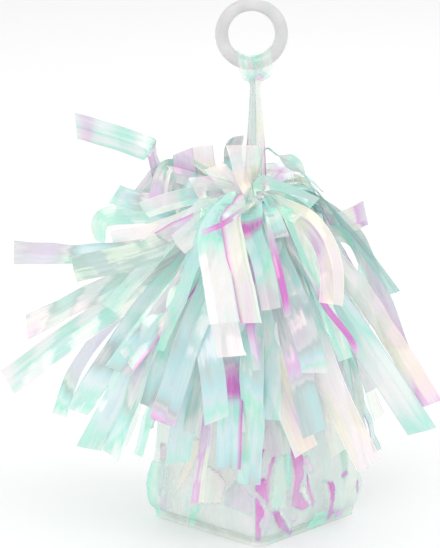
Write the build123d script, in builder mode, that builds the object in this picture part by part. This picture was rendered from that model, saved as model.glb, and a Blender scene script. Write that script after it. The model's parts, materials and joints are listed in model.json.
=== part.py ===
"""Film-wrapped balloon weight: a cast block in a gathered film pouch, a tied crown of
film fringe, and a ring on a film hanger for the balloon ribbon.

Millimetres and degrees. The origin is the middle of the underside, +Z runs up the neck to
the ring, +X is to the right and -Y is the front, where one corner of the pouch points.
"""

import os
from math import cos, radians, sin, sqrt, tan

from build123d import *

# Film
FILM = 0.3  # wall of the film pieces, thickened so that they mesh and collide
GAP = 0.1  # room between film pieces that are bound together
LOOSE = 0.3  # room between pieces that move on each other

# Ballast block
BLOCK_BASE = 38.0
BLOCK_TOP = 30.0
BLOCK_HEIGHT = 46.0
BLOCK_CORNER = 5.0
BLOCK_EDGE = 2.0
TURN = 47.4  # turns one corner of the square to the front

# Pouch: how far the film stands off the block, and where it is gathered
POUCH_FOOT = 1.2  # from the block's side in to the flat underside
POUCH_BULGE = 2.2  # slack beside the foot of the block
POUCH_SLACK = 1.2  # slack beside the rest of the block
POUCH_ROUND = 3.5
FOOT_HEIGHT = 3.0
BULGE_HEIGHT = 9.0
SHOULDER_RISE = 14.0
SHOULDER_SIDE = 20.0
GATHER_RISE = 28.0  # from the top of the block to the gathered neck
NECK_R = 3.0
NECK_TOP = 88.3

# Tie round the gathered neck
TIE_HEIGHT = 3.0
TIE_WALL = 1.0
TIE_DROP = 9.3  # from the top of the neck to the bottom of the tie

# Fringe: rows of film strips bound round the neck, the innermost row on top
STRIP_WIDTH = 6.35
STRIP_LENGTH = 84.0
ROW_COUNTS = (18, 18, 17, 16, 13)  # strips in each row, from the outermost row inwards
ROW_DROP = 1.0  # each row further out turns over this much lower
ROOT_TAIL = 1.0  # the strips reach this far below the tie
BEND_SHARE = 0.45  # share of a straight run that a bend may take up
MAX_BEND = 9.0
SCATTER = 1.0  # uneven fall from strip to strip
LENGTH_SCATTER = 0.16  # the shortest strips are shorter by this share of a full one
ROW_EASE = 1.4  # the rows crowd a little towards the skirt
UNEVEN_STEP = 137.5  # step of the uneven pattern, which never repeats within a row

# How a strip lies: climb angle, run to the crest, fall angle and whole length, the two
# lengths as shares of the full strip
SKIRT = (2.0, 0.107, 75.5, 1.0)  # the outermost row hangs like this all round
CANOPY = (  # the top row, strip by strip, from the right over the back to the left and front
    (13.0, 0.18, 42.0, 0.48),
    (25.0, 0.17, 60.0, 1.0),
    (20.0, 0.18, 38.0, 0.52),
    (16.0, 0.155, 44.0, 0.71),
    (34.0, 0.18, 38.0, 0.67),
    (18.0, 0.27, 36.0, 0.71),
    (22.0, 0.285, -17.0, 0.69),
    (8.0, 0.145, 13.0, 0.88),
    (10.0, 0.17, 17.0, 0.80),
    (4.0, 0.31, 64.0, 0.79),
    (2.0, 0.215, 58.0, 0.66),
    (3.0, 0.17, 50.0, 0.62),
    (9.0, 0.17, 57.0, 1.0),
)

# Hanger strip: a doubled film strip from the neck to the ring
PIVOT_RISE = 1.2  # the hanger bends this far above the top of the neck
HANGER_ROOT = 4.4
HANGER_WAIST = 2.6
HANGER_THICK = 1.5
STRAND_GAP = 0.25
STRAND_ROUND = 0.4
HANGER_LENGTH = 33.3  # from the bend to the middle of the ring's tube
BELLY_SHARE = 0.48  # share of the length up to where the strands begin to narrow
WAIST_SHARE = 0.84  # share of the length up to the narrow waist under the ring
SLEEVE_HALF = 3.6  # half of the width of film round the ring

# Ring
RING_EYE = 12.0
RING_TUBE = 3.4
RING_LEAN = 8.0  # the ring leans to the left

# Derived places
rows = len(ROW_COUNTS)
ring_major = (RING_EYE + RING_TUBE) / 2
bound_r = NECK_R + rows * (FILM + GAP)
tie_z = NECK_TOP - TIE_DROP
root_z = tie_z - ROOT_TAIL
pivot_z = NECK_TOP + PIVOT_RISE
block_top_z = FILM + BLOCK_HEIGHT
gather_z = block_top_z + GATHER_RISE
ring_z = pivot_z + HANGER_LENGTH
turned = Plane.XY.rotated((0, 0, TURN))
hold = Plane(
    origin=(0, 0, ring_z),
    x_dir=(cos(radians(RING_LEAN)), 0, sin(radians(RING_LEAN))),
    z_dir=(0, -1, 0),
)
ring_plane = Plane(hold.location * Pos(0, ring_major))


def save(piece, name):
    """Labels one finished piece and writes it to its own file."""
    piece.label = name
    export_step(piece, f"parts/{name}.step")


def mix(first, second, share):
    """Goes from one set of values to another by the given share."""
    return [a + (b - a) * share for a, b in zip(first, second)]


def ballast_block():
    with BuildPart() as block:
        for z, side in ((FILM, BLOCK_BASE), (block_top_z, BLOCK_TOP)):
            with BuildSketch(turned.offset(z)):
                RectangleRounded(side, side, BLOCK_CORNER)
        loft()
        ends = block.faces().sort_by(Axis.Z)
        chamfer(ends[0].edges() + ends[-1].edges(), BLOCK_EDGE)
    return block.part


def pouch_sections():
    """Heights, sides and corner radii of the pouch, from its foot up to the neck."""
    taper = (BLOCK_TOP - BLOCK_BASE) / BLOCK_HEIGHT
    foot_side = BLOCK_BASE + taper * FOOT_HEIGHT
    bulge_side = BLOCK_BASE + taper * BULGE_HEIGHT
    return [
        (0.0, BLOCK_BASE - 2 * POUCH_FOOT, POUCH_ROUND),
        (FOOT_HEIGHT, foot_side + 2 * POUCH_SLACK, POUCH_ROUND),
        (BULGE_HEIGHT, bulge_side + 2 * POUCH_BULGE, POUCH_ROUND),
        (block_top_z, BLOCK_TOP + 2 * POUCH_SLACK, BLOCK_CORNER),
        (block_top_z + SHOULDER_RISE, SHOULDER_SIDE, 2 * POUCH_ROUND),
        (gather_z, 2 * NECK_R, NECK_R - GAP),
    ]


def pouch_body(inset):
    """The lofted bag, whose inner face stands a film's thickness inside the outer one."""
    with BuildPart() as body:
        for z, side, corner in pouch_sections():
            with BuildSketch(turned.offset(max(z, inset))):
                RectangleRounded(side - 2 * inset, side - 2 * inset, corner - inset)
        loft(ruled=True)
    return body.part


def wrap_film():
    with BuildPart() as wrap:
        add(pouch_body(0))
        with BuildSketch(Plane.XY.offset(gather_z)):
            Circle(NECK_R)
        extrude(amount=NECK_TOP - gather_z)
        add(pouch_body(FILM), mode=Mode.SUBTRACT)
        # Trough where the root of the hanger bends
        with BuildSketch(Plane.XZ):
            with Locations((0, pivot_z)):
                Circle(HANGER_ROOT / 2 + LOOSE)
        extrude(amount=2 * NECK_R, both=True, mode=Mode.SUBTRACT)
    return wrap.part


def neck_tie():
    inner = bound_r + GAP
    with BuildPart() as tie:
        with BuildSketch(Plane.XY.offset(tie_z)):
            Circle(inner + TIE_WALL)
            Circle(inner, mode=Mode.SUBTRACT)
        extrude(amount=TIE_HEIGHT)
        outer_edges = tie.edges().filter_by(GeomType.CIRCLE).sort_by(SortBy.RADIUS)[-2:]
        fillet(outer_edges, TIE_WALL / 3)
    return tie.part


def strip_lie(level, azimuth):
    """How a strip lies: the rows go step by step from the skirt to the canopy above it."""
    place = azimuth / 360 * len(CANOPY)
    index = int(place)
    above = mix(CANOPY[index % len(CANOPY)], CANOPY[(index + 1) % len(CANOPY)], place - index)
    return mix(SKIRT, above, (level / (rows - 1)) ** ROW_EASE)


def bend_radius(run, next_run, turn):
    """Largest round bend that two runs leave room for, in a strip of film."""
    return min(MAX_BEND, BEND_SHARE * min(run, next_run) / tan(radians(abs(turn)) / 2))


def fringe_strip(root_r, turn_z, slot, lie):
    """One strip, standing in the XZ plane: up from the tie, over its crest and down."""
    climb, crest_share, fall, length_share = lie
    crest = crest_share * STRIP_LENGTH
    length = length_share * STRIP_LENGTH
    rise = turn_z - root_z
    drop = length - rise - crest
    top_r = root_r + crest * cos(radians(climb))
    top_z = turn_z + crest * sin(radians(climb))
    tip = (top_r + drop * cos(radians(fall)), top_z - drop * sin(radians(fall)))
    bends = [bend_radius(rise, crest, 90 - climb), bend_radius(crest, drop, climb + fall)]
    # Seen from above, the gathered root fans out until the strip has its full width
    spread = tan(radians(slot / 2))
    root_half = root_r * spread - GAP
    full_r = (STRIP_WIDTH / 2 + GAP) / spread
    plan = [
        (root_r, root_half),
        (full_r, STRIP_WIDTH / 2),
        (root_r + length, STRIP_WIDTH / 2),
    ]
    with BuildPart() as strip:
        with BuildSketch(Plane.XZ):
            with BuildLine():
                FilletPolyline((root_r, root_z), (root_r, turn_z), (top_r, top_z), tip, radius=bends)
                offset(amount=FILM, side=Side.RIGHT)
            make_face()
        extrude(amount=STRIP_WIDTH / 2, both=True)
        with BuildSketch():
            with BuildLine():
                Polyline(*plan, *[(x, -y) for x, y in reversed(plan)], close=True)
            make_face()
        extrude(amount=ring_z, mode=Mode.INTERSECT)
    return strip.part


def fringe_row(level):
    """A row of separate strips, spread evenly round the neck and lying a little unevenly."""
    count = ROW_COUNTS[level]
    root_r = bound_r - FILM - level * (FILM + GAP)
    turn_z = NECK_TOP - GAP - ROW_DROP * (rows - 1 - level)
    slot = 360 / count
    strips = []
    for i in range(count):
        azimuth = (slot * (i + level / 2)) % 360
        climb, crest, fall, length = strip_lie(level, azimuth)
        if level < rows - 1:
            uneven = sin(radians(UNEVEN_STEP * (i + 1) * (level + 2)))
            fall += SCATTER * uneven
            length -= LENGTH_SCATTER * (1 + uneven) / 2
        strip = fringe_strip(root_r, turn_z, slot, (climb, crest, fall, length))
        strips.append(strip.rotate(Axis.Z, azimuth))
    with BuildPart() as row:
        add(strips)
    return row.part


def sleeve_face(radius):
    """Half section of a trumpet round the ring's tube, whose flare follows the ring's eye."""
    flare = ring_major - sqrt(radius**2 - SLEEVE_HALF**2)
    left = (-SLEEVE_HALF, flare)
    right = (SLEEVE_HALF, flare)
    with BuildSketch(hold) as section:
        with BuildLine():
            ThreePointArc(left, (0, ring_major - radius), right)
            Polyline(right, (SLEEVE_HALF, 0), (-SLEEVE_HALF, 0), left)
        make_face()
    return section.sketch


def hanger_strip():
    """Two film strands side by side, spread at the top into a sleeve round the ring."""
    eye_clear = RING_EYE / 2 - LOOSE
    turn_axis = Axis(hold.origin, hold.x_dir)
    widths = (
        (pivot_z, HANGER_ROOT),
        (pivot_z + BELLY_SHARE * HANGER_LENGTH, HANGER_ROOT),
        (pivot_z + WAIST_SHARE * HANGER_LENGTH, HANGER_WAIST),
        (ring_z, 2 * (SLEEVE_HALF - LOOSE)),
    )
    with BuildPart() as hanger:
        for side in (-1, 1):
            for z, width in widths:
                strand = (width - STRAND_GAP) / 2
                with BuildSketch(Plane.XY.offset(z)):
                    with Locations((side * (strand + STRAND_GAP) / 2, 0)):
                        RectangleRounded(strand, HANGER_THICK, STRAND_ROUND)
            loft(ruled=True)
        # Rounded root that bends in the trough of the neck
        with BuildSketch(Plane.XZ):
            with Locations((0, pivot_z)):
                Circle(HANGER_ROOT / 2)
        extrude(amount=HANGER_THICK / 2, both=True)
        revolve(sleeve_face(eye_clear - FILM), axis=turn_axis)
        revolve(sleeve_face(eye_clear), axis=turn_axis, mode=Mode.SUBTRACT)
    return hanger.part


def ring():
    with BuildPart() as hoop:
        with Locations(ring_plane):
            Torus(ring_major, RING_TUBE / 2)
    return hoop.part


os.makedirs("parts", exist_ok=True)
save(ballast_block(), "ballast_block")
save(wrap_film(), "wrap_film")
save(neck_tie(), "neck_tie")
for level in range(rows):
    save(fringe_row(level), f"fringe_row_{level + 1}")
save(hanger_strip(), "hanger_strip")
save(ring(), "ring")
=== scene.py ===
"""Looks of a film-wrapped balloon weight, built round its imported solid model.

Places and sizes are in millimetres, and Blender's metres come from MM. The film is made of open
sheets: five rows of crinkled strips, the pouch round the block, and the gathered neck. Each
film point carries a tone, its place on one ring of iridescent colours, and a veil, how
milky the film is there.
"""
import json
import random
from math import atan2, cos, degrees, dist, pi, radians, sin, sqrt, tau

import bmesh
import bpy
from mathutils import Matrix, Vector
from mathutils.bvhtree import BVHTree


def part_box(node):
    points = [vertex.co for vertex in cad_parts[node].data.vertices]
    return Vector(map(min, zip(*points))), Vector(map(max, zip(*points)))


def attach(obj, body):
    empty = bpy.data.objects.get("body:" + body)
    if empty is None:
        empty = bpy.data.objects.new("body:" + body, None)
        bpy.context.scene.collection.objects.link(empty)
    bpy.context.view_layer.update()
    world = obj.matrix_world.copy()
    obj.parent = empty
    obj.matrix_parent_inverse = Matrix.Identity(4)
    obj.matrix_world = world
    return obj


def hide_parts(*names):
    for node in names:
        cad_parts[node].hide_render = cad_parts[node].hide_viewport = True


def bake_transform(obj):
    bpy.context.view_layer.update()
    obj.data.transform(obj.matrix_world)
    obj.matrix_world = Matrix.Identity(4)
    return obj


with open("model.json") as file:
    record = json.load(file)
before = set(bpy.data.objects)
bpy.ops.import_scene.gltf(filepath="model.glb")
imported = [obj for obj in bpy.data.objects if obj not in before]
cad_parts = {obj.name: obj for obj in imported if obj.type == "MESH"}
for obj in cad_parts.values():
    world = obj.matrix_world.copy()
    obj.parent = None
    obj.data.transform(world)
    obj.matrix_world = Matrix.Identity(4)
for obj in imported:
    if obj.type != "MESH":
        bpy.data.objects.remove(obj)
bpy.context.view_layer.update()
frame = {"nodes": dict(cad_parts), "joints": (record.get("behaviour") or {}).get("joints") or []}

MM = 0.001
rng = random.Random(29)

# Camera, as in the photograph
VIEW_RISE = 15
VIEW_DISTANCE = 900
VIEW_TARGET = (-9.2, 0, 66.4)
VIEW_LENS = 225.3
SENSOR_WIDTH = 36
FACING = Vector((0, -cos(radians(VIEW_RISE)), sin(radians(VIEW_RISE))))

# Film strips. Across a strip, places are shares of its half width; along it they are shares of its
# length, apart from the spans of creases and bands, which are in millimetres
STRIP_WIDTH = 6.35
STRIP_STEPS = 96
CURVE_STEPS = 16
EDGE_SPAN = 0.08
EDGE_VEIL = 1.0
PLUM_SPAN = 0.40
PLUM_FADE = (0.14, 0.32)
PLUM_FAINT = 0.25
FOLD_SIDE = 0.45
FOLD_SPAN = 0.05
FOLD_RISE = (0.25, 1.0)
# Painted sheen: one flank of the fold has its tone shifted by up to this share
FOLD_SHEEN_TONE = 0.10
FOLD_START = 0.3
STREAK_SPAN = 0.30
STREAK_MIDDLE = (0.35, 0.85)
STREAK_FADE = (0.04, 0.22)
STREAKS = (0, 0, 0, 0, 0, 0.35, 0.8)
CREASE_RISE = (0.06, 0.34)
CREASE_SPAN = (7, 18)
CREASE_COUNT = 3
CREASE_ANGLES = (-1.4, -1.2, -0.8, -0.5, 0.5, 0.8, 1.2, 1.4)
# Painted sheen: the first crease shifts the tone, and the milkiness with it, from one flank to the other
FACET_SHEEN_TONE = 0.09
FACET_SHEEN_VEIL = 0.13
FACET_SHEEN_PLAY = 0.1
FLANK_STEEPNESS = 3
VEIL_SPREAD = (0.88, 1.12)
GRAIN_PLACES = 90
BAND_TONE = (0.02, 0.06)
BAND_SPAN = (20, 48)
BAND_SKEW = 0.35
SIDE_TONE = 0.05
END_SLANT = 1.2
END_SHARE = 0.85
CLEAR_TURN = 0.08
ROOT_GATHER = 0.45
ROOT_SHARE = 0.22
ROOT_RADIUS = 3.4
ROOT_FLARE = 1.3
ROOT_LOW = 83
ROOT_HIGH = 87.2
SHARP_ANGLE = 9
WELD = 0.001
LINE_STEP = 2.5

# Pouch film: points round the pouch and in the lap of its seam, where that is as a share of a turn,
# and the heights between which crinkles and pleats come and go
POUCH_TURNS = 480
POUCH_SEAM = 14
SEAM_PLACE = 0.18
LAP_RISE = 0.35
LAP_POINTS = (POUCH_TURNS - 6, POUCH_TURNS + 2)
POUCH_STEP = 0.45
POUCH_STEP_HIGH = 1.1
POUCH_FINE = 36
POUCH_LOW = 0.15
POUCH_TOP = 86
POUCH_RAY = 60
FOOT_ROUND = 2.5
FOOT_VEIL = 0.7
FOOT_FADE = (0.5, 4)
UNDER_SHARES = (1.0, 0.9, 0.6, 0.3, 0.02)
UNDER_HEIGHT = 0.1
UNDER_VEIL = 0.4
POUCH_CORNER = 19.5
PLEAT_COUNT = 26
PLEAT_RISE = 0.55
PLEAT_START = (40, 72)
PLEAT_END = (82, 86)
PLEAT_WAVER = 0.06
PLEAT_WAVE = 4
CRINKLE_START = (0, 5)
CRINKLE_END = (60, 78)
CRINKLE_SPAN = (5, 15)
CRINKLE_RISE = (0.10, 0.28)
CRINKLE_TILT = 0.7

# Hanger film
TUBE_RADIUS = 1.7
TUBE_CLEAR = 2.0
FAN_HALF = 2.15

# Places on the ring of film colours, with the colour there in display values and the milkiness
TONE_TABLE = {
    "white": (0.00, (0.955, 0.965, 0.962), 0.50),
    "pale": (0.08, (0.862, 0.948, 0.932), 0.54),
    "mint": (0.15, (0.665, 0.930, 0.870), 0.62),
    "sky": (0.22, (0.815, 0.935, 0.940), 0.54),
    "aqua": (0.29, (0.705, 0.910, 0.916), 0.60),
    "teal": (0.35, (0.730, 0.858, 0.846), 0.62),
    "slate": (0.40, (0.690, 0.795, 0.790), 0.62),
    "silver": (0.45, (0.862, 0.898, 0.896), 0.54),
    "grey": (0.51, (0.812, 0.822, 0.862), 0.54),
    "lilac": (0.58, (0.885, 0.845, 0.945), 0.54),
    "orchid": (0.64, (0.915, 0.775, 0.930), 0.60),
    "pink": (0.70, (0.900, 0.680, 0.895), 0.64),
    "rose": (0.745, (0.955, 0.890, 0.952), 0.54),
    "peach": (0.79, (0.970, 0.930, 0.872), 0.54),
    "cream": (0.84, (0.966, 0.960, 0.908), 0.54),
    "blush": (0.90, (0.962, 0.940, 0.955), 0.52),
    "clear": (0.95, (0.955, 0.966, 0.955), 0.50),
}
TONES = {name: place for name, (place, _, _) in TONE_TABLE.items()}
# Plum is no place on the ring: it lies over the film's own colour, fully over pink and faintly over pale
PLUM = (0.830, 0.410, 0.800)
PLUM_VEIL = 0.86
PLUM_SHARES = {"plum": 1.0, "flush": 0.4}
TONES["plum"] = TONES["pink"]
TONES["flush"] = TONES["pale"]
# Lengthwise streaks in the film: features to the millimetre across and along, and what they shift
GRAIN_FINE = (0.9, 0.035)
GRAIN_RIDGES = (1.1, 0.09)
GRAIN_TONE = 0.17
GRAIN_VEIL = 0.35
# How the film's noise is used: scale and detail of its clouds, its middle value, how the streaks
# vary the plum (factor and base), and strength and depth of the bumps, in metres
FILM_CLOUDS = (95, 2.0)
NOISE_MIDDLE = 0.5
PLUM_GRAIN = (1.2, 0.4)
FILM_BUMP = (0.25, 0.0004)
CLOUD_STOPS = (0.3, 0.7)

# Painted sheen: the tone also runs with the angle between the film and this fixed direction
PAINTED_SHEEN_DIRECTION = Vector((0.62, -0.50, 0.60))
SHEEN_AT_FACING = PAINTED_SHEEN_DIRECTION.dot(FACING)


def linear(colour):
    """Display colour to the linear colour that shaders take."""
    return tuple(c / 12.92 if c <= 0.04045 else ((c + 0.055) / 1.055) ** 2.4 for c in colour)


def smooth(low, high, value):
    """Soft step from 0 at low to 1 at high."""
    share = min(max((value - low) / (high - low), 0.0), 1.0)
    return share * share * (3 - 2 * share)


def mix(a, b, share):
    return a + (b - a) * share


def either_way(most):
    """Random number from -most to most."""
    return rng.uniform(-most, most)


def zigzag(value):
    """Triangle wave of period 1 between -1 and 1: straight flanks that meet in sharp creases."""
    return abs((value % 1.0) - 0.5) * 4 - 1


def along_curve(points, steps):
    """Points of a smooth curve through the given ones, with so many steps from each to the next."""
    ends = [points[0], *points, points[-1]]
    fine = []
    for i in range(len(points) - 1):
        for j in range(steps):
            t = j / steps
            fine.append([
                0.5 * (2 * b + (c - a) * t + (2 * a - 5 * b + 4 * c - d) * t ** 2
                       + (3 * b - a - 3 * c + d) * t ** 3)
                for a, b, c, d in zip(*ends[i:i + 4])
            ])
    fine.append(list(points[-1]))
    return fine


def sampled(points, count):
    """Even samples along a smooth curve, and its length. A point's first three numbers are its
    place, and the others are carried along."""
    fine = along_curve(points, CURVE_STEPS)
    run = [0.0]
    for p, q in zip(fine, fine[1:]):
        run.append(run[-1] + dist(p[:3], q[:3]))
    samples = []
    at = 0
    for i in range(count + 1):
        want = run[-1] * i / count
        while at < len(run) - 2 and run[at + 1] < want:
            at += 1
        share = (want - run[at]) / (run[at + 1] - run[at])
        samples.append([mix(p, q, share) for p, q in zip(fine[at], fine[at + 1])])
    return samples, run[-1]


def near_tones(names):
    """Tones of the named colours, each taken the short way round from the one before."""
    values = []
    for name in names:
        tone = TONES[name]
        if values:
            tone += round(values[-1] - tone)
        values.append(tone)
    return values


def scene_object(name, data):
    """A new object in the scene."""
    made = bpy.data.objects.new(name, data)
    bpy.context.scene.collection.objects.link(made)
    return made


class Film:
    """Points, faces and film values of one sheet piece."""

    def __init__(self):
        self.points = []
        self.faces = []
        self.tones = []
        self.veils = []
        self.plums = []
        self.grains = []
        self.cut_area = 0.0

    def add(self, place, grain, tone, veil, plum=0.0):
        self.points.append(tuple(c * MM for c in place))
        self.grains.extend(grain)
        self.tones.append(tone)
        self.veils.append(veil)
        self.plums.append(plum)

    def grid(self, first, rows, columns):
        """Faces between rows of points that start at index first."""
        for i in range(rows - 1):
            for j in range(columns - 1):
                a = first + i * columns + j
                self.faces.append((a, a + 1, a + 1 + columns, a + columns))

    def strip(self, points, width, facing, edge, crumple, play, veil):
        """One film strip, folded along a line. A point is x, y, z, roll in degrees, tone and plum,
        and at roll 0 the strip shows its face towards facing. The fold, the sides, oblique bands
        and the first crease shift the tone by the share called play; at the fold and the first crease
        the tone, and at that crease the milkiness too, step from one flank to the other as a painted
        sheen. The cut edges have the colour called edge, and crumple is how strongly the strip is
        creased. A plum edge is on one side only, and it fades along a strip whose play is 1."""
        samples, length = sampled(points, STRIP_STEPS)
        self.cut_area += width * length
        veil *= rng.uniform(*VEIL_SPREAD)
        number = rng.uniform(0, GRAIN_PLACES)
        slant = either_way(END_SLANT)
        side_tone = play * either_way(SIDE_TONE)
        fold = either_way(FOLD_SIDE)
        fold_rise = rng.choice((-1, 1)) * rng.uniform(*FOLD_RISE) * width / STRIP_WIDTH
        fold_sheen_tone = play * either_way(FOLD_SHEEN_TONE)
        streak = rng.choice(STREAKS) if play == 1 else 0.0
        streak_middle = rng.uniform(*STREAK_MIDDLE)
        swell = play * rng.uniform(*BAND_TONE)
        band_span = rng.uniform(*BAND_SPAN)
        skew = either_way(BAND_SKEW)
        band_start = rng.random()
        creases = []
        for i in range(CREASE_COUNT):
            rise = crumple * rng.uniform(*CREASE_RISE)
            turn = (play + FACET_SHEEN_PLAY) * either_way(FACET_SHEEN_TONE) if i == 0 else 0.0
            span = rng.uniform(*CREASE_SPAN)
            angle = rng.choice(CREASE_ANGLES)
            creases.append((rise, turn, span, angle, rng.random()))
        rim = 1 - (PLUM_SPAN if edge == "plum" else EDGE_SPAN)
        low = fold - FOLD_SPAN
        high = fold + FOLD_SPAN
        columns = (-1, -rim, mix(-rim, low, 0.5), low, high, high + STREAK_SPAN, rim, 1)
        first = len(self.points)
        side = None
        for i, (x, y, z, roll, tone, plum) in enumerate(samples):
            before = Vector(samples[max(i - 1, 0)][:3])
            after = Vector(samples[min(i + 1, STRIP_STEPS)][:3])
            ahead = (after - before).normalized()
            turned = ahead.cross(facing)
            if side and turned.dot(side) < 0:
                turned.negate()
            if turned.length > CLEAR_TURN or side is None:
                side = turned.normalized()
            across = (side - ahead * side.dot(ahead)).normalized()
            across.rotate(Matrix.Rotation(radians(roll), 3, ahead))
            out = across.cross(ahead)
            share = i / STRIP_STEPS
            run = share * length
            spread = mix(ROOT_GATHER, 1.0, smooth(0, ROOT_SHARE, share))
            free = smooth(0.0, FOLD_START, share)
            off_middle = abs(share - streak_middle)
            streak_here = streak * (1 - smooth(*STREAK_FADE, off_middle))
            plum_edge = mix(1.0, PLUM_FAINT, smooth(*PLUM_FADE, off_middle)) if play == 1 else 1.0
            for u in columns:
                half = u * width / 2
                lift = fold_rise * (abs(u - fold) - 0.5) * free
                facet = 0.0
                milk = veil + EDGE_VEIL * (abs(u) == 1)
                for rise, turn, span, angle, start in creases:
                    gone = (run * cos(angle) + half * sin(angle)) / span + start
                    lift += rise * zigzag(gone)
                    # Which flank of the crease this is; at the first crease its tone and milk step is a
                    # painted sheen
                    flank = min(max(FLANK_STEEPNESS * zigzag(gone + 0.25), -1), 1)
                    facet += flank * turn
                    milk += flank * FACET_SHEEN_VEIL * turn / FACET_SHEEN_TONE
                slip = slant * u * smooth(END_SHARE, 1.0, share)
                place = Vector((x, y, z)) + across * half * spread + out * lift + ahead * slip
                shade = tone + facet + side_tone * u
                shade += swell * sin(tau * (run / band_span + skew * u + band_start))
                ink = plum
                # The flank beyond the fold takes its own tone: painted sheen
                if u >= high:
                    shade += fold_sheen_tone
                    ink = max(ink, streak_here * (1 - smooth(high, high + STREAK_SPAN, u)))
                if u == 1 and edge == "plum":
                    ink = plum_edge
                elif abs(u) == 1 and edge != "plum":
                    shade = TONES[edge] + round(shade - TONES[edge])
                self.add(place, (half, run, number), shade, milk, ink)
        self.grid(first, STRIP_STEPS + 1, len(columns))

    def piece(self, name, material, slot, body=None):
        """The finished sheet as an object."""
        mesh = bpy.data.meshes.new(name)
        mesh.from_pydata(self.points, [], self.faces)
        for label, values in (("tone", self.tones), ("veil", self.veils), ("plum", self.plums)):
            layer = mesh.attributes.new(label, "FLOAT", "POINT")
            layer.data.foreach_set("value", values)
        mesh.attributes.new("grain", "FLOAT_VECTOR", "POINT").data.foreach_set("vector", self.grains)
        mesh.polygons.foreach_set("use_smooth", [True] * len(mesh.polygons))
        mesh.set_sharp_from_angle(angle=radians(SHARP_ANGLE))
        mesh.materials.append(material)
        mesh.update()
        made = scene_object(name, mesh)
        if body:
            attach(made, body)
        return made


class Shader:
    """A material's node tree, with short calls for the nodes used here."""

    def __init__(self, name):
        self.material = bpy.data.materials.new(name)
        self.material.use_nodes = True
        self.nodes = self.material.node_tree.nodes
        self.links = self.material.node_tree.links
        self.surface = self.nodes["Principled BSDF"]

    def node(self, kind, **inputs):
        made = self.nodes.new("ShaderNode" + kind)
        for label, value in inputs.items():
            self.feed(made.inputs[label], value)
        return made

    def feed(self, socket, value):
        if isinstance(value, bpy.types.NodeSocket):
            self.links.new(value, socket)
        else:
            socket.default_value = value

    def maths(self, operation, *values, kind="Math", output=0):
        made = self.node(kind)
        made.operation = operation
        for socket, value in zip(made.inputs, values):
            self.feed(socket, value)
        return made.outputs[output]

    def attribute(self, name, output="Fac"):
        made = self.node("Attribute")
        made.attribute_name = name
        return made.outputs[output]

    def noise(self, scale, detail=3.0, roughness=0.5, place=None):
        place = place or self.node("TexCoord").outputs["Object"]
        made = self.node("TexNoise", Vector=place, Scale=scale, Detail=detail, Roughness=roughness)
        return made.outputs["Fac"]

    def grain(self, across, along):
        """Noise drawn out along the film, with so many features to the millimetre each way."""
        place = self.attribute("grain", "Vector")
        stretched = self.maths("MULTIPLY", place, (across, along, 1), kind="VectorMath")
        return self.noise(scale=1.0, detail=2.0, place=stretched)

    def ramp(self, value, stops):
        """Colour ramp with stops of place, display colour and alpha."""
        made = self.node("ValToRGB", Fac=value)
        elements = made.color_ramp.elements
        while len(elements) < len(stops):
            elements.new(0.5)
        for element, (place, colour, alpha) in zip(elements, stops):
            element.position = place
            element.color = (*linear(colour), alpha)
        return made

    def clouds(self, low, high, **noise):
        """Colour that goes from low to high with the noise."""
        stops = [(place, colour, 1) for place, colour in zip(CLOUD_STOPS, (low, high))]
        return self.ramp(self.noise(**noise), stops).outputs["Color"]

    def blend(self, share, first, second):
        """Colour that goes from the first to the second with the share."""
        made = self.node("Mix", Factor=share)
        made.data_type = "RGBA"
        self.feed(made.inputs[6], first)
        self.feed(made.inputs[7], second)
        return made.outputs[2]

    def bump(self, height, strength, distance):
        made = self.node("Bump", Height=height, Strength=strength, Distance=distance)
        self.finish(Normal=made.outputs["Normal"])

    def finish(self, **inputs):
        for label, value in inputs.items():
            self.feed(self.surface.inputs[label.replace("_", " ")], value)
        return self.material


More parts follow.
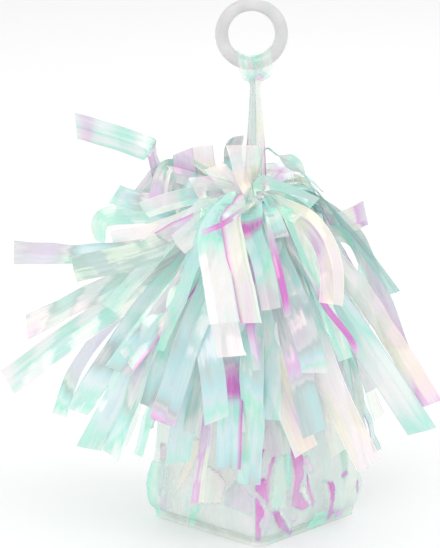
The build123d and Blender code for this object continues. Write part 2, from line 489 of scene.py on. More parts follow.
def film_material(name, milk, shade, painted_sheen_share, cloud_share):
    """Clear iridescent film: its colour runs round the ring of tones with its points' tones, a painted
    sheen from the film's tilt to a fixed direction, clouds and streaks. Its veil is multiplied by milk,
    and light that falls through it is dimmed only by the share called shade."""
    shader = Shader(name)
    maths = shader.maths
    normal = shader.node("TexCoord").outputs["Normal"]
    # Painted sheen: the tone shifts with the film's tilt to a fixed direction
    lie = maths("DOT_PRODUCT", normal, PAINTED_SHEEN_DIRECTION, kind="VectorMath", output="Value")
    swing = maths("MULTIPLY", maths("ABSOLUTE", lie), painted_sheen_share)
    cloud = maths("MULTIPLY", shader.noise(*FILM_CLOUDS), cloud_share)
    grain = shader.grain(*GRAIN_FINE)
    tone = maths("ADD", shader.attribute("tone"), swing)
    tone = maths("ADD", tone, cloud)
    tone = maths("MULTIPLY_ADD", grain, GRAIN_TONE, tone)
    # Usual shift from painted sheen, clouds and streaks where the film faces the camera, taken off the
    # tone
    usual = SHEEN_AT_FACING * painted_sheen_share + NOISE_MIDDLE * cloud_share + NOISE_MIDDLE * GRAIN_TONE
    tone = maths("FRACT", maths("ADD", tone, 1 - usual))
    stops = list(TONE_TABLE.values())
    stops.append((1.0, *stops[0][1:]))
    colours = shader.ramp(tone, stops)
    uneven = maths("MULTIPLY_ADD", grain, *PLUM_GRAIN)
    plum = maths("MULTIPLY", shader.attribute("plum"), uneven)
    plum.node.use_clamp = True
    tint = shader.blend(plum, colours.outputs["Color"], (*linear(PLUM), 1))
    veil = maths("MULTIPLY", colours.outputs["Alpha"], shader.attribute("veil"))
    haze = maths("MULTIPLY_ADD", grain, GRAIN_VEIL, -NOISE_MIDDLE * GRAIN_VEIL)
    alpha = maths("ADD", maths("MULTIPLY", veil, milk), haze)
    deeper = maths("MULTIPLY", plum, maths("SUBTRACT", PLUM_VEIL, alpha))
    alpha = maths("ADD", alpha, deeper)
    shadow = shader.node("LightPath").outputs["Is Shadow Ray"]
    passed = maths("MULTIPLY_ADD", shadow, shade - 1, 1.0)
    alpha = maths("MULTIPLY", alpha, passed)
    alpha.node.use_clamp = True
    shader.bump(shader.grain(*GRAIN_RIDGES), *FILM_BUMP)
    return shader.finish(
        Base_Color=tint, Alpha=alpha, Roughness=0.15, IOR=1.5,
        Specular_IOR_Level=0.46, Thin_Film_Thickness=430.0, Thin_Film_IOR=1.75,
    )


def ring_material():
    """Milky moulded plastic."""
    shader = Shader("milky_plastic")
    tint = shader.clouds((0.800, 0.808, 0.808), (0.848, 0.852, 0.850), scale=190)
    shader.bump(shader.noise(scale=700, detail=2.0), strength=0.10, distance=0.0002)
    return shader.finish(
        Base_Color=tint, Roughness=0.34, IOR=1.49, Subsurface_Weight=0.25,
        Subsurface_Scale=0.002, Coat_Weight=0.15,
    )


def block_material():
    """Pale cast cement with fine pores."""
    shader = Shader("cast_cement")
    tint = shader.clouds((0.925, 0.935, 0.94), (0.955, 0.962, 0.965), scale=120, detail=5.0, roughness=0.6)
    pores = shader.noise(scale=1500, detail=4.0, roughness=0.7)
    shader.bump(pores, strength=0.35, distance=0.0004)
    return shader.finish(Base_Color=tint, Roughness=0.86)


def tie_material():
    """Clear moulded band."""
    shader = Shader("tie_plastic")
    tint = shader.clouds((0.86, 0.89, 0.88), (0.92, 0.94, 0.93), scale=400, detail=2.0)
    return shader.finish(Base_Color=tint, Roughness=0.3)


# Strips placed one by one, as the photograph shows them: row, width, colour of the cut edges, colours
# at the strip's points, its rolls there, or one roll for all of them, and the points
PLACED_STRIPS = {
    "flag": (5, 6.4, "mint", "silver silver lilac orchid aqua mint mint pale flush pale",
        (40, 50, 60, 55, 0, 0, 0, 0, 0, 0),
        (-14, 6, 88), (-24, 8.5, 90.5), (-25.5, 9, 92.5), (-27, 9, 97.2), (-27.7, 9, 97.8),
        (-30, 9.5, 98.6), (-36, 10, 100.7), (-41, 10, 102.2), (-44, 10, 103.2), (-47, 10, 104)),
    "standing_teal": (4, 6, "pink", "aqua teal lilac", (30, 20, 0),
        (-14, 8, 83), (-22, 12, 84), (-26, 13, 88)),
    "small_mint": (4, 5.5, "mint", "teal silver pale", (30, 20, 10),
        (-17, 4, 85), (-28, 6, 84), (-37, 8, 86)),
    "folded_mint": (3, 6.2, "white", "silver mint mint pale", (30, 20, 30, 60),
        (-17, 4, 81), (-29, 8, 81), (-40, 9, 79), (-41, 10, 72)),
    "long_level": (5, 6.3, "slate", "lilac grey aqua grey silver", (20, 30, 35, 30, 20),
        (-14, -8, 82), (-28, -14, 77), (-42, -17, 76), (-53, -18, 76.5), (-62, -19, 77)),
    "teal_level": (5, 6.6, "slate", "silver teal teal", (20, 15, 0),
        (-15, -11, 82), (-28, -22, 78), (-46, -35, 77)),
    "long_upper": (4, 6.4, "slate", "silver silver teal silver", (30, 30, 30, 25),
        (-14, -6, 79), (-28, -12, 72), (-43, -16, 65), (-59, -18, 57)),
    "long_low": (4, 6.9, "pink", "pale pale mint pale", (20, 10, 0, 0),
        (-14, -8, 75), (-28, -14, 67), (-49, -19, 54), (-64, -21, 43)),
    "narrow_lilac": (3, 6.2, "slate", "silver lilac orchid mint", (60, 62, 62, 55),
        (-20, -4, 71), (-35, -8, 58), (-46, -10, 44), (-51, -11, 31)),
    "teal_droop": (3, 6.5, "slate", "mint mint teal pale", (20, 10, 0, 30),
        (-16, -14, 75), (-28, -20, 63), (-38, -24, 49), (-46, -27, 37)),
    "mint_droop": (3, 6.4, "white", "pale mint sky mint", (20, 10, 10, 0),
        (-16, -16, 73), (-28, -24, 58), (-36, -28, 41), (-43, -30, 28)),
    "pale_droop": (3, 6, "slate", "silver lilac silver pale", (50, 50, 50, 40),
        (-14, -18, 74), (-25, -26, 58), (-32, -31, 40), (-37, -33, 27)),
    "grey_stub": (3, 6.2, "slate", "pale mint silver", (30, 20, 20),
        (-14, -18, 70), (-22, -26, 54), (-27, -30, 39)),
    "pink_edge": (3, 6.2, "plum", "silver silver pale", 190,
        (-15, -19, 74), (-25, -26, 61), (-33, -29, 51)),
    "aqua_lilac": (3, 6.8, "lilac", "white aqua sky orchid", (10, 10, 0, 10),
        (-10, -20, 73), (-17, -28, 57), (-21, -31, 45), (-24, -32, 36)),
    "aqua_long": (2, 6.6, "slate", "sky sky aqua mint", (20, 15, 10, 10),
        (-9, -19, 70), (-14, -22, 53), (-18, -26, 36), (-20, -29, 24)),
    "lilac_stub": (2, 6.4, "slate", "silver grey lilac orchid", (20, 20, 10, 10),
        (-14, -16, 68), (-19, -21, 52), (-22, -24, 40), (-24, -27, 34)),
    "grey_middle": (2, 6.2, "pink", "silver grey grey silver", 40,
        (-8, -21, 65), (-12, -24, 52), (-15, -26, 42), (-17, -28, 32)),
    "peach_low": (1, 6, "cream", "blush cream peach cream", (55, 60, 60, 60),
        (-7, -20, 56), (-11, -23, 41), (-13, -26, 28), (-15, -29, 13)),
    "front_white": (5, 7.6, "slate", "mint mint white white", 0,
        (-6, -11, 87), (-11, -25.8, 84), (-10, -35, 75.4), (-8, -40.8, 64.6)),
    "front_pink": (5, 6.4, "plum", "blush blush blush clear", (50, 45, 40, 40),
        (-3, -11, 88), (-6, -25, 86.8), (-4, -34.8, 77.3), (-1, -39.8, 64.3)),
    "front_aqua": (5, 6.4, "slate", "aqua aqua plum aqua sky white", (20, 20, 25, 30, 30, 30),
        (-1, -10, 87), (-1, -17, 85.8), (-1, -20, 84.2), (-0.4, -22.6, 82), (2, -28, 76), (4, -33, 66)),
    "front_under": (4, 6.8, "white", "white clear clear blush", 0,
        (-5, -16, 81), (-9, -29, 70), (-7, -36, 58), (-6, -38, 55)),
    "magenta_tail": (4, 4.4, "lilac", "pink plum orchid lilac", 60,
        (-0.5, -18, 78), (-1.5, -33, 66), (-0.5, -38.5, 59), (0.5, -40, 52)),
    "teal_front": (3, 6.6, "slate", "silver aqua teal mint", 10,
        (-8, -18, 75), (-12, -27, 58), (-11, -32, 48), (-10, -35, 37)),
    "mint_left": (3, 7, "mint", "teal mint mint silver", 10,
        (-12, -15, 79), (-17, -20.5, 71), (-25, -25.5, 62), (-35.4, -28.5, 48.4)),
    "magenta_blue": (2, 6.4, "plum", "aqua aqua plum sky teal", 190,
        (-4, -21, 67), (-6, -26, 53), (-6.2, -29, 44), (-6.5, -30.5, 39.5), (-7, -34, 24)),
    "teal_centre": (1, 6.4, "teal", "silver teal mint teal", 20,
        (-1, -20, 67), (-1, -25, 49), (-1, -29, 34), (-2, -32, 19)),
    "yellow_front": (2, 6.8, "sky", "white clear cream cream", 10,
        (2, -21, 67), (3, -27, 55), (7, -30, 43), (13, -32, 28)),
    "grey_front": (3, 6.6, "slate", "teal silver orchid teal teal", (10, 10, 5, 0, 0),
        (5, -22, 73), (9, -28, 58), (11, -31.5, 50.5), (12.3, -33.2, 44), (15, -36, 34)),
    "pale_pink": (3, 7, "white", "silver pale blush blush", 10,
        (8, -18, 72), (15, -28, 56), (21, -32, 41), (29, -35, 25)),
    "grey_right": (4, 6.6, "slate", "silver teal silver pale", (15, 10, 10, 10),
        (4, -18, 79), (9, -28, 69), (13, -34, 58), (15, -36, 50)),
    "right_big": (4, 7.2, "slate", "teal sky pale mint", 0,
        (9, -13, 77), (21, -19, 63), (31, -22, 49), (43, -25, 31)),
    "right_pink": (5, 6.2, "rose", "white white blush rose", (30, 30, 30, 25),
        (12, -6.4, 80), (25, -13, 68), (35, -18.5, 54), (45, -24, 38)),
    "right_lilac": (5, 6, "grey", "silver lilac lilac rose", (30, 30, 40, 10),
        (12, 6, 86), (24, 12, 76), (30, 15, 66), (39, 20, 40)),
    "pink_end": (5, 6.2, "mint", "teal silver white orchid", (20, 20, 0, 0),
        (9, 6, 82), (20, 8, 78), (24, 6, 79), (29, 4, 82)),
    "mint_twist": (4, 5.6, "teal", "pale mint mint white", (30, 60, 120, 200),
        (12, -6, 80), (24, -8, 78), (28, -8, 66), (27, -8, 55)),
    "thin_dangle": (2, 5.6, "slate", "white silver pale white", 70,
        (12, -8, 70), (22, -12, 57), (26, -13, 41), (27, -13, 29)),
    "peach_right": (5, 6.2, "cream", "clear cream cream cream cream", (20, 15, 10, 10, 10),
        (6, -8, 86), (13, -15, 84.5), (17.5, -21, 79.5), (19.3, -25, 73), (19, -28, 66)),
}
# Pieces of film in the crown and slivers before it, which stand for no solid strip: width and so on
CROWN_STRIPS = {
    "flag_band": (4.6, "lilac", "silver silver silver silver", (30, 20, 10, 0),
        (-16, 6, 90), (-24.5, 8, 91.6), (-27.3, 8, 89), (-29.8, 8, 85.6)),
    "standing_pink": (5.4, "teal", "aqua aqua orchid lilac", (30, 20, 0, 0),
        (-8, 3, 85), (-15, 6, 86), (-18, 8.5, 90.3), (-19, 9.3, 97.3)),
    "standing_grey": (5.6, "silver", "white rose white", (40, 10, 0),
        (-6, 4, 87.5), (-12, 10.2, 89.8), (-14, 13.2, 97.8)),
    "mint_neck": (5.4, "teal", "pale mint mint mint", (20, 5, 0, 0),
        (2, -3, 91), (4.5, -4, 90.2), (10, -4.5, 88.2), (14.8, -5, 86)),
    "thread_mint": (3.8, "silver", "silver silver pale mint pale silver", (88, 88, 86, 10, 86, 88),
        (1.5, 2, 93), (2.6, 2, 99.5), (6, 2.5, 97.9), (9.7, 3, 95.6), (13, 3, 92.2), (17.3, 3, 87.8)),
    "cream_cone": (8, "teal", "white cream cream pale blush", (70, 55, 30, 10, 0),
        (-0.5, -3, 86), (-1, -3, 90), (-2, -3, 94), (-2.5, -3, 98), (-3.5, -2, 101.5)),
    "neck_curl": (5, "teal", "cream white silver silver", (0, 10, 30, 60),
        (-2, 3, 88), (-5, 5, 92), (-6, 6, 98), (-5, 6, 102)),
    "crown_white": (5.4, "teal", "white white cream", (20, 10, 20),
        (-3, -5, 88), (-7, -4, 92), (-11, -2, 96)),
    "crown_lilac": (5, "white", "silver white pale", (30, 20, 20),
        (-12, 0, 88), (-21, -3, 87), (-29, -6, 85)),
    "crown_cream": (4.2, "mint", "white cream white", (30, 30, 20),
        (-14, -6, 85), (-26, -10, 81), (-37, -13, 79)),
    "crown_mauve": (4.4, "plum", "grey lilac silver", (40, 30, 20),
        (-10, -9, 86), (-17, -14, 84), (-24, -18, 81)),
    "crown_pale": (6, "silver", "white white blush", (10, 0, 0),
        (-8, -10, 87), (-14, -17, 84), (-20, -22, 80)),
    "crown_right": (4.6, "slate", "white silver white", (30, 25, 30),
        (6, -6, 88), (11, -10, 86.5), (16, -14, 82)),
    "crown_square": (5.2, "silver", "silver white silver", 0, (2, -9, 87), (4, -16, 85.5), (6, -19, 81)),
    "teal_bar": (5.6, "slate", "silver teal teal lilac", 0,
        (-14, 15, 88), (-21, 12, 91.5), (-23.5, 6, 92), (-25.3, 3, 84.6)),
    "white_bar": (1.0, "white", "white white blush white", 0,
        (-12, 13, 88), (-19.5, 11, 92), (-22.4, 5, 92.8), (-23.9, 2.2, 84.3)),
    "lilac_bar": (1.8, "orchid", "white white sky white", 0,
        (-9, 10, 88), (-14.5, 8, 90.5), (-17, 3, 90.5), (-20.8, 0, 83.5)),
    "sliver_right": (1.8, "lilac", "silver plum plum silver", 0,
        (3, -22, 84.5), (5.5, -31, 76.6), (7.1, -34, 69.8), (7.9, -35.5, 64.8)),
    "sliver_low": (1.6, "lilac", "silver silver plum plum grey", 0,
        (8, -17, 80), (14, -24, 71), (18.1, -27, 64.5), (23.6, -28.5, 57.6), (26, -29, 53)),
    "sliver_front": (1.4, "lilac", "silver plum pink", 0,
        (-3, -16, 88), (-8.7, -28, 86.9), (-13.9, -28.5, 84.8)),
}
PLACED_CRUMPLE = 0.8
PLACED_PLAY = 0.4
PLACED_VEIL = 1.38
# A strip that comes into view further out than this first turns over a crest
CREST_REACH = 10
CREST_SHARE = 0.62
CREST_DROP = 0.15
# Room that the pouch takes up in |x| + |y|, beside the block and at the neck, and the heights between
POUCH_ROOM = (33, 8)
POUCH_SHOULDER = (46, 82)

# The other strips follow the solid ones: how far a row's strips veer off and roll towards their
# tips, where along a strip that starts, and how far its tone drifts
ROW_VEER = {1: 0.06, 2: 0.10, 3: 0.16, 4: 0.22, 5: 0.26}
ROW_ROLL = {1: 22, 2: 30, 3: 38, 4: 45, 5: 55}
FILL_KINK = (0.3, 0.75)
FILL_ROLL_START = 0.15
FILL_DRIFT = 0.12
FILL_WIDTHS = (0.9, 1.05)
FILL_OUTWARD = 0.5
FILL_UPWARD = 0.87
FILL_TONES = (
    "white white clear pale pale mint mint sky aqua "
    "teal teal silver silver clear lilac rose"
).split()
EDGE_TONES = "slate slate slate teal grey white plum mint".split()
# Short crumpled pieces about the crown: count, first and last azimuth, climb and length ranges
CROWN_BITS = (
    (11, (70, 265), (0, 24), (11, 22)),
    (3, (-95, -20), (-8, 6), (9, 14)),
)
# The four runs of such a piece as shares of its length, and how it bends, veers and twists at each
CROWN_RUNS = (0.35, 0.35, 0.15, 0.15)
CROWN_BEND = (-18, 10)
CROWN_ROOT = 86.2
CROWN_VEER = 22
CROWN_TWIST = 25
CROWN_ROLL = 50
CROWN_DRIFT = 0.06
CROWN_WIDTHS = (0.8, 1.0)
CROWN_CRUMPLE = 2.2
CROWN_PLAY = 0.7
CROWN_EDGES = "slate teal white silver".split()
CROWN_TONES = "white white clear white pale clear lilac sky".split()


def placed_strip(film, width, edge, colours, rolls, *points):
    """A strip through given points, from its root in the bound neck over its crest."""
    outward = Vector(points[0][:2])
    reach = outward.length
    outward.normalize()
    colours = colours.split()
    rolls = rolls if isinstance(rolls, tuple) else (rolls,) * len(points)
    tones = near_tones(colours)
    hidden = [(ROOT_RADIUS, ROOT_LOW), (ROOT_RADIUS * ROOT_FLARE, ROOT_HIGH)]
    if reach > CREST_REACH:
        hidden.append((reach * CREST_SHARE, mix(ROOT_HIGH, points[0][2], CREST_DROP)))
    path = [(*outward * radius, height, rolls[0], tones[0], 0.0) for radius, height in hidden]
    for place, roll, tone, colour in zip(points, rolls, tones, colours):
        path.append((*clear_of_pouch(*place), roll, tone, PLUM_SHARES.get(colour, 0)))
    film.strip(path, width, FACING, edge, PLACED_CRUMPLE, PLACED_PLAY, PLACED_VEIL)


def clear_of_pouch(x, y, z):
    """The place moved outwards, if need be, to stay off the pouch, whose corners are on X and Y."""
    limit = mix(*POUCH_ROOM, smooth(*POUCH_SHOULDER, z))
    span = abs(x) + abs(y)
    if z > ROOT_LOW or span >= limit:
        return x, y, z
    return x * limit / span, y * limit / span, z


def tip_bearing(line):
    """Whole degrees from +X round to the tip of a strip, seen from above."""
    return round(degrees(atan2(line[-1].y, line[-1].x))) % 360


def solid_strips(node):
    """Middle lines of the strips in one row's solids, from root to tip. A strip runs outwards all
    the way, so its corners in the order of their distance from the neck are its line. The strips
    come in the order of their bearing, so that each run gives the same result."""
    solid = bmesh.new()
    solid.from_mesh(frame["nodes"][node].data)
    bmesh.ops.remove_doubles(solid, verts=solid.verts, dist=WELD * MM)
    waiting = dict.fromkeys(solid.verts)
    lines = []
    while waiting:
        island = [waiting.popitem()[0]]
        for vertex in island:
            for edge in vertex.link_edges:
                other = edge.other_vert(vertex)
                if other in waiting:
                    del waiting[other]
                    island.append(other)
        places = [vertex.co / MM for vertex in island]
        middle = sum(places, Vector()) / len(places)
        out = Vector((middle.x, middle.y, 0)).normalized()
        profile = sorted((place.dot(out), place.z) for place in places)
        root = profile[0][0]
        line = [out * root + Vector((0, 0, ROOT_LOW))]
        for reach, height in profile:
            spot = out * reach + Vector((0, 0, height))
            if reach > root + LINE_STEP / 2 and (spot - line[-1]).length > LINE_STEP:
                line.append(spot)
        lines.append(line)
    solid.free()
    return sorted(lines, key=tip_bearing)


def filling_strip(film, line, veer, roll):
    """A strip of film in the place of a solid one, creased, and veering and rolling towards its tip."""
    tone = TONES[rng.choice(FILL_TONES)]
    drift = either_way(FILL_DRIFT)
    roll *= either_way(1)
    kink = rng.uniform(*FILL_KINK)
    sideways = Vector((-line[-1].y, line[-1].x, 0)).normalized() * either_way(veer)
    upward = Vector((0, 0, either_way(veer)))
    run = [0.0]
    for p, q in zip(line, line[1:]):
        run.append(run[-1] + (q - p).length)
    path = []
    for spot, gone in zip(line, run):
        share = gone / run[-1]
        shift = (sideways + upward) * max(share - kink, 0) * run[-1]
        place = clear_of_pouch(*(spot + shift))
        turn = roll * smooth(FILL_ROLL_START, 1, share)
        path.append((*place, turn, tone + drift * share, 0.0))
    outward = Vector((line[-1].x, line[-1].y, 0)).normalized()
    facing = outward * FILL_OUTWARD + Vector((0, 0, FILL_UPWARD))
    width = STRIP_WIDTH * rng.uniform(*FILL_WIDTHS)
    film.strip(path, width, facing, rng.choice(EDGE_TONES), crumple=1.0, play=1.0, veil=1.0)


def crown_bit(film, azimuth, climb, length):
    """A short piece of film that sticks out of the crown, turned and folded anyhow."""
    tone = TONES[rng.choice(CROWN_TONES)]
    roll = either_way(CROWN_ROLL)
    x = ROOT_RADIUS * cos(azimuth)
    y = ROOT_RADIUS * sin(azimuth)
    z = CROWN_ROOT
    path = [(x, y, ROOT_LOW, roll, tone, 0.0), (x, y, z, roll, tone, 0.0)]
    slope = radians(climb)
    bearing = azimuth
    for share in CROWN_RUNS:
        slope += radians(rng.uniform(*CROWN_BEND))
        bearing += radians(either_way(CROWN_VEER))
        roll += either_way(CROWN_TWIST)
        step = length * share
        x += step * cos(slope) * cos(bearing)
        y += step * cos(slope) * sin(bearing)
        z += step * sin(slope)
        path.append((x, y, z, roll, tone + either_way(CROWN_DRIFT), 0.0))
    width = STRIP_WIDTH * rng.uniform(*CROWN_WIDTHS)
    film.strip(path, width, FACING, rng.choice(CROWN_EDGES), CROWN_CRUMPLE, CROWN_PLAY, veil=1.0)


def crown_bits(film):
    """The short pieces, spread evenly over their bearings."""
    for count, (start, stop), climbs, lengths in CROWN_BITS:
        for i in range(count):
            azimuth = radians(mix(start, stop, (i + rng.random()) / count))
            crown_bit(film, azimuth, rng.uniform(*climbs), rng.uniform(*lengths))


def fringe_pieces(material):
    """The five rows of film strips. A placed strip stands for the solid one beside it."""
    for row, veer in ROW_VEER.items():
        film = Film()
        lines = solid_strips(f"fringe_row_{row}")
        slot = tau / len(lines)
        tips = []
        for placed_row, *strip in PLACED_STRIPS.values():
            if placed_row == row:
                placed_strip(film, *strip)
                tips.append(Vector(strip[-1]).xy)
        for line in lines:
            if all(abs(line[-1].xy.angle_signed(tip)) >= slot / 2 for tip in tips):
                filling_strip(film, line, veer, ROW_ROLL[row])
        if row == len(ROW_VEER):
            for strip in CROWN_STRIPS.values():
                placed_strip(film, *strip)
            crown_bits(film)
        piece = film.piece(f"fringe_film_{row}", material, "fringe_film", "weight")
        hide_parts(f"fringe_row_{row}")


# Flat facets of the folded pouch film on its four faces, from the front corner to the right and
# round: colour, rise and corners as places along the face and heights. The first three, thin white
# slivers, are painted glints. Where two facets overlap, the first one counts.
RIGHT_FRONT = (
    # Painted glints: thin white slivers, made near opaque by their milk
    ("white", 1.2, ((14.5, 13), (17, 13.5), (18, 8))),
    ("white", 0.9, ((7.2, 8.5), (8, 8.5), (12.8, 2), (12.2, 2))),
    ("white", 0.9, ((26.6, 10), (27.2, 10), (28.4, 4.5), (27.8, 4.5))),
    ("clear", 0.8, ((0, 30), (4, 32), (8.5, 28), (4, 26.5), (0, 26))),
    ("plum", 1.0, ((0, 25.5), (4, 26.5), (3, 23), (2, 20.5), (1, 19.5), (0, 20.5))),
    ("plum", 0.6, ((8.5, 27), (7, 23), (4.5, 18), (3.5, 11.5), (2.5, 13.5), (3, 16.5), (5, 22.5))),
    ("plum", 1.1, ((0, 17), (2, 19), (4.5, 18), (3, 11), (2.5, 13))),
    ("plum", 0.8, ((0, 15.5), (1, 13.5), (2, 10), (1, 7.5), (2, 1.5), (0, 2.5))),
    ("lilac", 0.6, ((1, 14), (3, 10.5), (4, 10), (2.5, 2), (1.5, 7.5))),
    ("pale", 0.5, ((7, 22), (10, 25), (10.5, 15), (9.5, 9.5), (4, 11), (5, 14), (6, 17.5))),
    ("mint", 0.8, ((10.5, 25), (12.5, 24), (12, 17), (11, 13), (10, 15))),
    ("plum", 1.2, ((12.5, 24.5), (16, 23), (17, 21), (16.5, 16.5), (14.5, 13.5), (18, 8), (15.5, 7),
        (11.5, 9.5), (12.5, 13), (13.5, 18))),
    ("pink", 0.8, ((15.5, 21.5), (19, 21), (21.5, 16), (18.5, 16.5), (17.5, 19))),
    ("plum", 0.5, ((17.5, 17), (18.5, 16), (19.5, 8), (18.5, 7.5), (18, 12))),
    ("plum", 1.0, ((4, 10), (6.5, 9.5), (11.5, 4), (13.5, 1.5), (12.5, 0.5), (10, 2.5), (7, 4.5))),
    ("pink", 0.5, ((11.5, 5), (15, 6.5), (14, 5), (12.5, 4))),
    ("silver", 0.8, ((22.5, 13), (25, 13), (25.5, 9), (25.5, 4.5), (23.5, 9.5))),
    ("plum", 0.9, ((25.5, 12.5), (27.5, 12), (28, 6), (29, 3), (27.5, 0.8), (26, 4))),
    ("plum", 0.5, ((31, 13), (34, 13.5), (34, 12.3), (32, 11.5))),
    ("plum", 0.4, ((36, 10.5), (37, 10), (38, 6.5), (37.3, 6), (36.5, 8))),
    ("pink", 0.4, ((29.5, 3), (33, 3), (33, 1), (30, 1))),
    ("mint", 0.6, ((21, 5), (25.5, 4.5), (26.5, 0.8), (19.5, 0.8))),
)
RIGHT_BACK = (
    ("mint", 0.7, ((5, 27), (9, 28), (11, 6), (7, 3))),
    ("orchid", 0.7, ((13, 22), (17, 23), (15, 8), (12, 10))),
    ("cream", 0.5, ((19, 27), (24, 26), (25, 10), (20, 6))),
    ("plum", 0.7, ((27, 20), (29, 22), (31, 7), (29, 4))),
    ("pale", 0.5, ((32, 26), (37, 25), (36, 6), (33, 9))),
)
LEFT_BACK = (
    ("pale", 0.5, ((3, 26), (8, 27), (9, 7), (4, 5))),
    ("plum", 0.8, ((11, 24), (13, 25), (15, 9), (12, 7))),
    ("mint", 0.5, ((17, 26), (22, 25), (21, 8), (18, 5))),
    ("lilac", 0.6, ((25, 22), (29, 24), (30, 11), (26, 6))),
    ("pink", 0.6, ((32, 18), (34, 19), (36, 6), (34, 3))),
)
LEFT_FRONT = (
    ("mint", 0.6, ((0.5, 15), (8, 17), (7, 11), (6, 7.5), (5, 1), (1.5, 1), (0.5, 8))),
    ("orchid", 0.4, ((8, 15.5), (9, 15), (6.5, 7.5), (6, 9.5))),
    ("cream", 0.6, ((16.5, 25), (20.5, 25.5), (17.5, 18.5), (13.5, 10.5), (11.5, 8.5), (14.5, 19))),
    ("mint", 0.7, ((19.5, 19.5), (20.5, 19), (19, 13.5), (16.5, 7.5), (14.5, 0.8), (14, 0.8),
        (17.5, 13))),
    ("clear", 0.6, ((20.5, 19.5), (26, 18), (28.5, 16), (27.5, 10), (19.5, 8), (19, 11.5))),
    ("lilac", 0.5, ((28.5, 13.5), (32, 17), (38, 13.5), (37.5, 9), (28.5, 10))),
    ("mint", 0.4, ((17.5, 6.5), (20.5, 8), (19.5, 4), (16.5, 1), (15, 1))),
    ("orchid", 0.4, ((7, 7), (8.5, 8), (8, 3), (6, 2.5))),
)
POUCH_FACETS = (RIGHT_FRONT, RIGHT_BACK, LEFT_BACK, LEFT_FRONT)
FACET_BEVEL = 0.5
FACET_TILT = 0.8
FACET_PALING = 0.5
FACET_START = (0, 3)
FACET_MILK = 1.45
# Milk of plain pouch film, and of the white slivers, which are painted glints
POUCH_AND_GLINT_VEILS = {None: 0.8, "white": 2.0}
POUCH_TONE = 0.04
POUCH_GRAIN = 0.3
FACE_GRAIN = 50
POUCH_CREASES = 6


def inside_depth(along, height, corners):
    """Distance from the rim of a facet to a place inside it, or 0 outside."""
    inside = False
    depth = FACET_BEVEL
    for (ax, ay), (bx, by) in zip(corners, corners[1:] + corners[:1]):
        if (ay > height) != (by > height) and along < ax + (height - ay) / (by - ay) * (bx - ax):
            inside = not inside
        run = (bx - ax) ** 2 + (by - ay) ** 2
        share = min(max(((along - ax) * (bx - ax) + (height - ay) * (by - ay)) / run, 0), 1)
        depth = min(depth, dist((along, height), (mix(ax, bx, share), mix(ay, by, share))))
    return depth if inside else 0.0


def facet_at(face, along, height):
    """Rise, colour and depth of colour of the facet at a place on one face of the pouch. A facet is
    tilted, and it is highest and deepest in colour at its second corner."""
    for colour, rise, corners in POUCH_FACETS[face]:
        depth = inside_depth(along, height, corners)
        if depth > 0:
            away = min(dist((along, height), corners[1]) / dist(corners[1], corners[-1]), 1)
            tilted = rise * (1 - FACET_TILT * away)
            return tilted * depth / FACET_BEVEL, colour, 1 - FACET_PALING * away
    return 0.0, None, 0.0


def pouch_heights():
    """Heights of the rows of film points, close together where the facets are."""
    heights = [POUCH_LOW]
    while heights[-1] < POUCH_TOP:
        step = POUCH_STEP if heights[-1] < POUCH_FINE else POUCH_STEP_HIGH
        heights.append(min(heights[-1] + step, POUCH_TOP))
    return heights


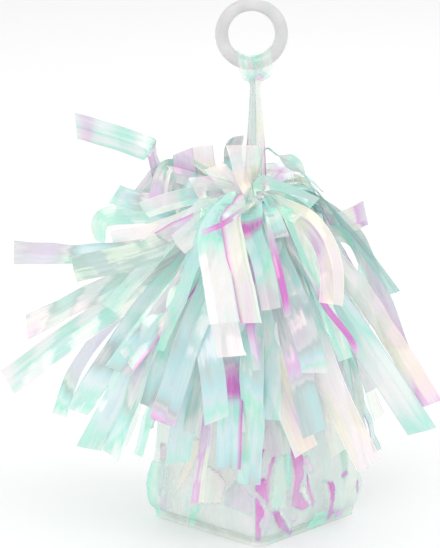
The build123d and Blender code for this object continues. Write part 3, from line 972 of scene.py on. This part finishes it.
def pouch_piece(material):
    """The wrap film: the solid's outer skin with gathers, creases and facets, from its lapped seam
    at the back right round to the seam again, and folded in under the block."""
    skin = BVHTree.FromObject(frame["nodes"]["wrap_film"], bpy.context.evaluated_depsgraph_get())
    creases = []
    for _ in range(POUCH_CREASES):
        bearing = rng.uniform(0, tau)
        tilt = either_way(CRINKLE_TILT)
        direction = Vector((cos(bearing) * cos(tilt), sin(bearing) * cos(tilt), sin(tilt)))
        span = rng.uniform(*CRINKLE_SPAN)
        creases.append((direction, span, rng.random(), rng.uniform(*CRINKLE_RISE)))
    film = Film()
    columns = POUCH_TURNS + POUCH_SEAM
    bearings = [tau * (j / POUCH_TURNS + SEAM_PLACE) for j in range(columns)]
    heights = pouch_heights()
    foot = []
    for height in heights:
        upright = Vector((0, 0, height))
        crinkled = smooth(*CRINKLE_START, height) * (1 - smooth(*CRINKLE_END, height))
        gather = smooth(*PLEAT_START, height) * (1 - smooth(*PLEAT_END, height))
        waver = PLEAT_WAVER * sin(height / PLEAT_WAVE)
        milk_at_foot = FOOT_VEIL * (1 - smooth(*FOOT_FADE, height))
        for j, bearing in enumerate(bearings):
            out = Vector((cos(bearing), sin(bearing), 0))
            start = out * POUCH_RAY + Vector((0, 0, max(height, FOOT_ROUND)))
            hit = skin.ray_cast(start * MM, -out)[0]
            radius = hit.xy.length / MM
            spot = out * radius
            face = int((bearing + pi / 2) / (pi / 2)) % 4
            middle = face * pi / 2 - pi / 4
            along = spot.y * cos(middle) - spot.x * sin(middle) + POUCH_CORNER
            crinkle = 0.0
            for direction, span, start_at, rise in creases:
                crinkle += rise * (1 + zigzag((spot + upright).dot(direction) / span + start_at))
            pleat = PLEAT_RISE * gather * zigzag(PLEAT_COUNT * bearing / tau + waver)
            rise, colour, depth = facet_at(face, along, height)
            lap = LAP_RISE * smooth(*LAP_POINTS, j)
            radius += crinkle * crinkled + pleat + rise * smooth(*FACET_START, height) + lap
            place = (out.x * radius, out.y * radius, height)
            tone = TONES.get(colour, POUCH_TONE)
            # White slivers get near-opaque milk: painted glints
            veil = POUCH_AND_GLINT_VEILS.get(colour, FACET_MILK) + milk_at_foot
            grain = (POUCH_GRAIN * along + FACE_GRAIN * face, height, 0)
            film.add(place, grain, tone, veil, depth * PLUM_SHARES.get(colour, 0))
            if height == heights[0]:
                foot.append(radius)
    film.grid(0, len(heights), columns)
    under = len(film.points)
    for share in UNDER_SHARES:
        for bearing, radius in zip(bearings, foot):
            place = (cos(bearing) * radius * share, sin(bearing) * radius * share, UNDER_HEIGHT)
            film.add(place, place, POUCH_TONE, UNDER_VEIL)
    film.grid(under, len(UNDER_SHARES), columns)
    for j in range(columns - 1):
        film.faces.append((under + j + 1, under + j, j, j + 1))
    piece = film.piece("pouch_film", material, "wrap_film", "weight")
    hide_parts("wrap_film")


# Each strand of the hanger on its way up: height, place beside the middle, half width, and colour of
# the right strand
STRAND_RISE = (
    (84, 1.3, 1.7, "blush"), (92, 1.2, 1.5, "blush"),
    (99, 1.15, 1.25, "blush"), (106, 1.1, 1.1, "cream"),
    (112, 0.9, 0.9, "blush"), (117.5, 0.75, 0.75, "blush"),
)
STRAND_LEFT = "silver"
# The fan over the ring: spread, then place outwards and upwards as shares of the clear radius
STRAND_FAN = ((0.75, 0.92, -0.75), (1.0, 1.0, 0.0), (1.0, 0.71, 0.71), (1.0, 0.0, 1.0))
STRAND_COLUMNS = 13
STRAND_STEPS = 12
STRAND_VEIL = 0.85
STRAND_FRONT = 0.9  # from the middle of the hanger forwards to its front layer
STRAND_PLEAT = 0.45
STRAND_PLEATS = 1.3
STRAND_BOW = 0.2
STRAND_BOW_LENGTH = 5
# The plum along the outer edges of the strands: its depth, where it starts, and where it fades out
STRAND_PLUM = 0.8
STRAND_PLUM_EDGE = 0.8
STRAND_PLUM_END = (98, 104)
FAN_SHARE = 1.05
FAN_PLEAT = 0.3
FAN_MINT = (-0.9, 1.9)


def hanger_piece(material):
    """The doubled film neck: two gathered strands that spread in a fan round the ring."""
    swing = next(joint for joint in frame["joints"] if joint["name"] == "ring_swing")
    ring_place = Vector(swing["pos_m"]) / MM
    lean = Vector(swing["axis"])
    upward = Vector((-lean.z, 0, lean.x))
    ring_low, ring_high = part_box("ring")
    ring_radius = (ring_high[2] - ring_low[2]) / MM / 2 - TUBE_RADIUS
    film = Film()
    for strand in (-1, 1):
        phase = rng.random()
        first = len(film.points)
        lines = []
        for j in range(STRAND_COLUMNS):
            u = 2 * j / (STRAND_COLUMNS - 1) - 1
            pleat = STRAND_PLEAT * zigzag(STRAND_PLEATS * u + phase)
            front = []
            for height, offset, half, right in STRAND_RISE:
                bow = STRAND_BOW * sin(height / STRAND_BOW_LENGTH + strand)
                tone = TONES[STRAND_LEFT if strand < 0 else right]
                plum = 0.0
                if strand * u > STRAND_PLUM_EDGE:
                    plum = STRAND_PLUM * (1 - smooth(*STRAND_PLUM_END, height))
                x = strand * offset + u * half + bow
                front.append((x, pleat - STRAND_FRONT, height, tone, plum, u * half))
            x_low = front[-1][0]
            x_fan = (strand + u * FAN_SHARE) * FAN_HALF
            reach = ring_radius - sqrt((ring_radius - TUBE_CLEAR) ** 2 - x_fan ** 2)
            tone = TONES["mint"] if FAN_MINT[0] < x_fan < FAN_MINT[1] else TONES["pale"]
            for spread, out, rise in STRAND_FAN:
                place = ring_place + lean * mix(x_low, x_fan, spread) + upward * rise * reach
                front.append((place.x, FAN_PLEAT * pleat - out * reach, place.z, tone, 0.0, x_fan))
            back = [(x, -y, *rest) for x, y, *rest in reversed(front[:-1])]
            lines.append(along_curve(front + back, STRAND_STEPS))
        for row in zip(*lines):
            for x, y, z, tone, plum, side in row:
                film.add((x, y, z), (side, z, strand), tone, STRAND_VEIL, plum)
        film.grid(first, len(lines[0]), STRAND_COLUMNS)
    piece = film.piece("hanger_film", material, "hanger_film")
    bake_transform(piece)
    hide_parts("hanger_strip")


def dress_nodes():
    """Materials for the solids that stay in view."""
    finishes = {"ring": ring_material(), "ballast_block": block_material(), "neck_tie": tie_material()}
    for node, material in finishes.items():
        slots = frame["nodes"][node].data.materials
        slots.clear()
        slots.append(material)


# Studio, in metres and watts. Each lamp: place, the spot it is aimed at, size and power
FLOOR_HALF = 3.0
FLOOR_COLOUR = (0.93, 0.93, 0.93, 1)
WORLD_STRENGTH = 0.865
LAMPS = {
    "key": ((-0.45, -0.55, 0.75), (0, 0, 0.07), 0.65, 2.3),
    "side": ((0.6, -0.2, 0.45), (0, 0, 0.07), 0.4, 0.8),
    "rim": ((0.1, 0.6, 0.6), (0, 0, 0.08), 0.5, 0.8),
}


def aimed(name, data, place, target):
    """A lamp or camera at a place, aimed at the target."""
    made = scene_object(name, data)
    made.location = place
    made.rotation_euler = (Vector(target) - Vector(place)).to_track_quat("-Z", "Y").to_euler()
    return made


def studio():
    """Pale floor, soft light, and the camera at the photograph's angle."""
    scene = bpy.context.scene
    mesh = bpy.data.meshes.new("floor")
    corners = [(x * FLOOR_HALF, y * FLOOR_HALF, 0) for x, y in ((-1, -1), (1, -1), (1, 1), (-1, 1))]
    mesh.from_pydata(corners, [], [(0, 1, 2, 3)])
    shader = Shader("pale_floor")
    mesh.materials.append(shader.finish(Base_Color=FLOOR_COLOUR, Roughness=0.9))
    floor = scene_object("floor", mesh)

    world = bpy.data.worlds.new("studio")
    world.use_nodes = True
    sky = world.node_tree.nodes["Background"].inputs
    sky["Color"].default_value = (1, 1, 1, 1)
    sky["Strength"].default_value = WORLD_STRENGTH
    scene.world = world
    for name, (place, spot, size, power) in LAMPS.items():
        lamp = bpy.data.lights.new(name, "AREA")
        lamp.shape = "DISK"
        lamp.size = size
        lamp.energy = power
        aimed(name, lamp, place, spot)

    camera = bpy.data.cameras.new("camera")
    camera.lens = VIEW_LENS
    camera.sensor_width = SENSOR_WIDTH
    target = Vector(VIEW_TARGET) * MM
    scene.camera = aimed("camera", camera, target + FACING * VIEW_DISTANCE * MM, target)
    scene.view_settings.view_transform = "Standard"
    scene.cycles.transparent_max_bounces = 32


fringe_film = film_material("fringe_film", milk=1.12, shade=0.07, painted_sheen_share=0.13, cloud_share=0.04)
pouch_film = film_material("pouch_film", milk=0.9, shade=0.08, painted_sheen_share=0.08, cloud_share=0.03)
neck_film = film_material("neck_film", milk=1.0, shade=0.15, painted_sheen_share=0.06, cloud_share=0.03)
fringe_pieces(fringe_film)
pouch_piece(pouch_film)
hanger_piece(neck_film)
dress_nodes()
studio()
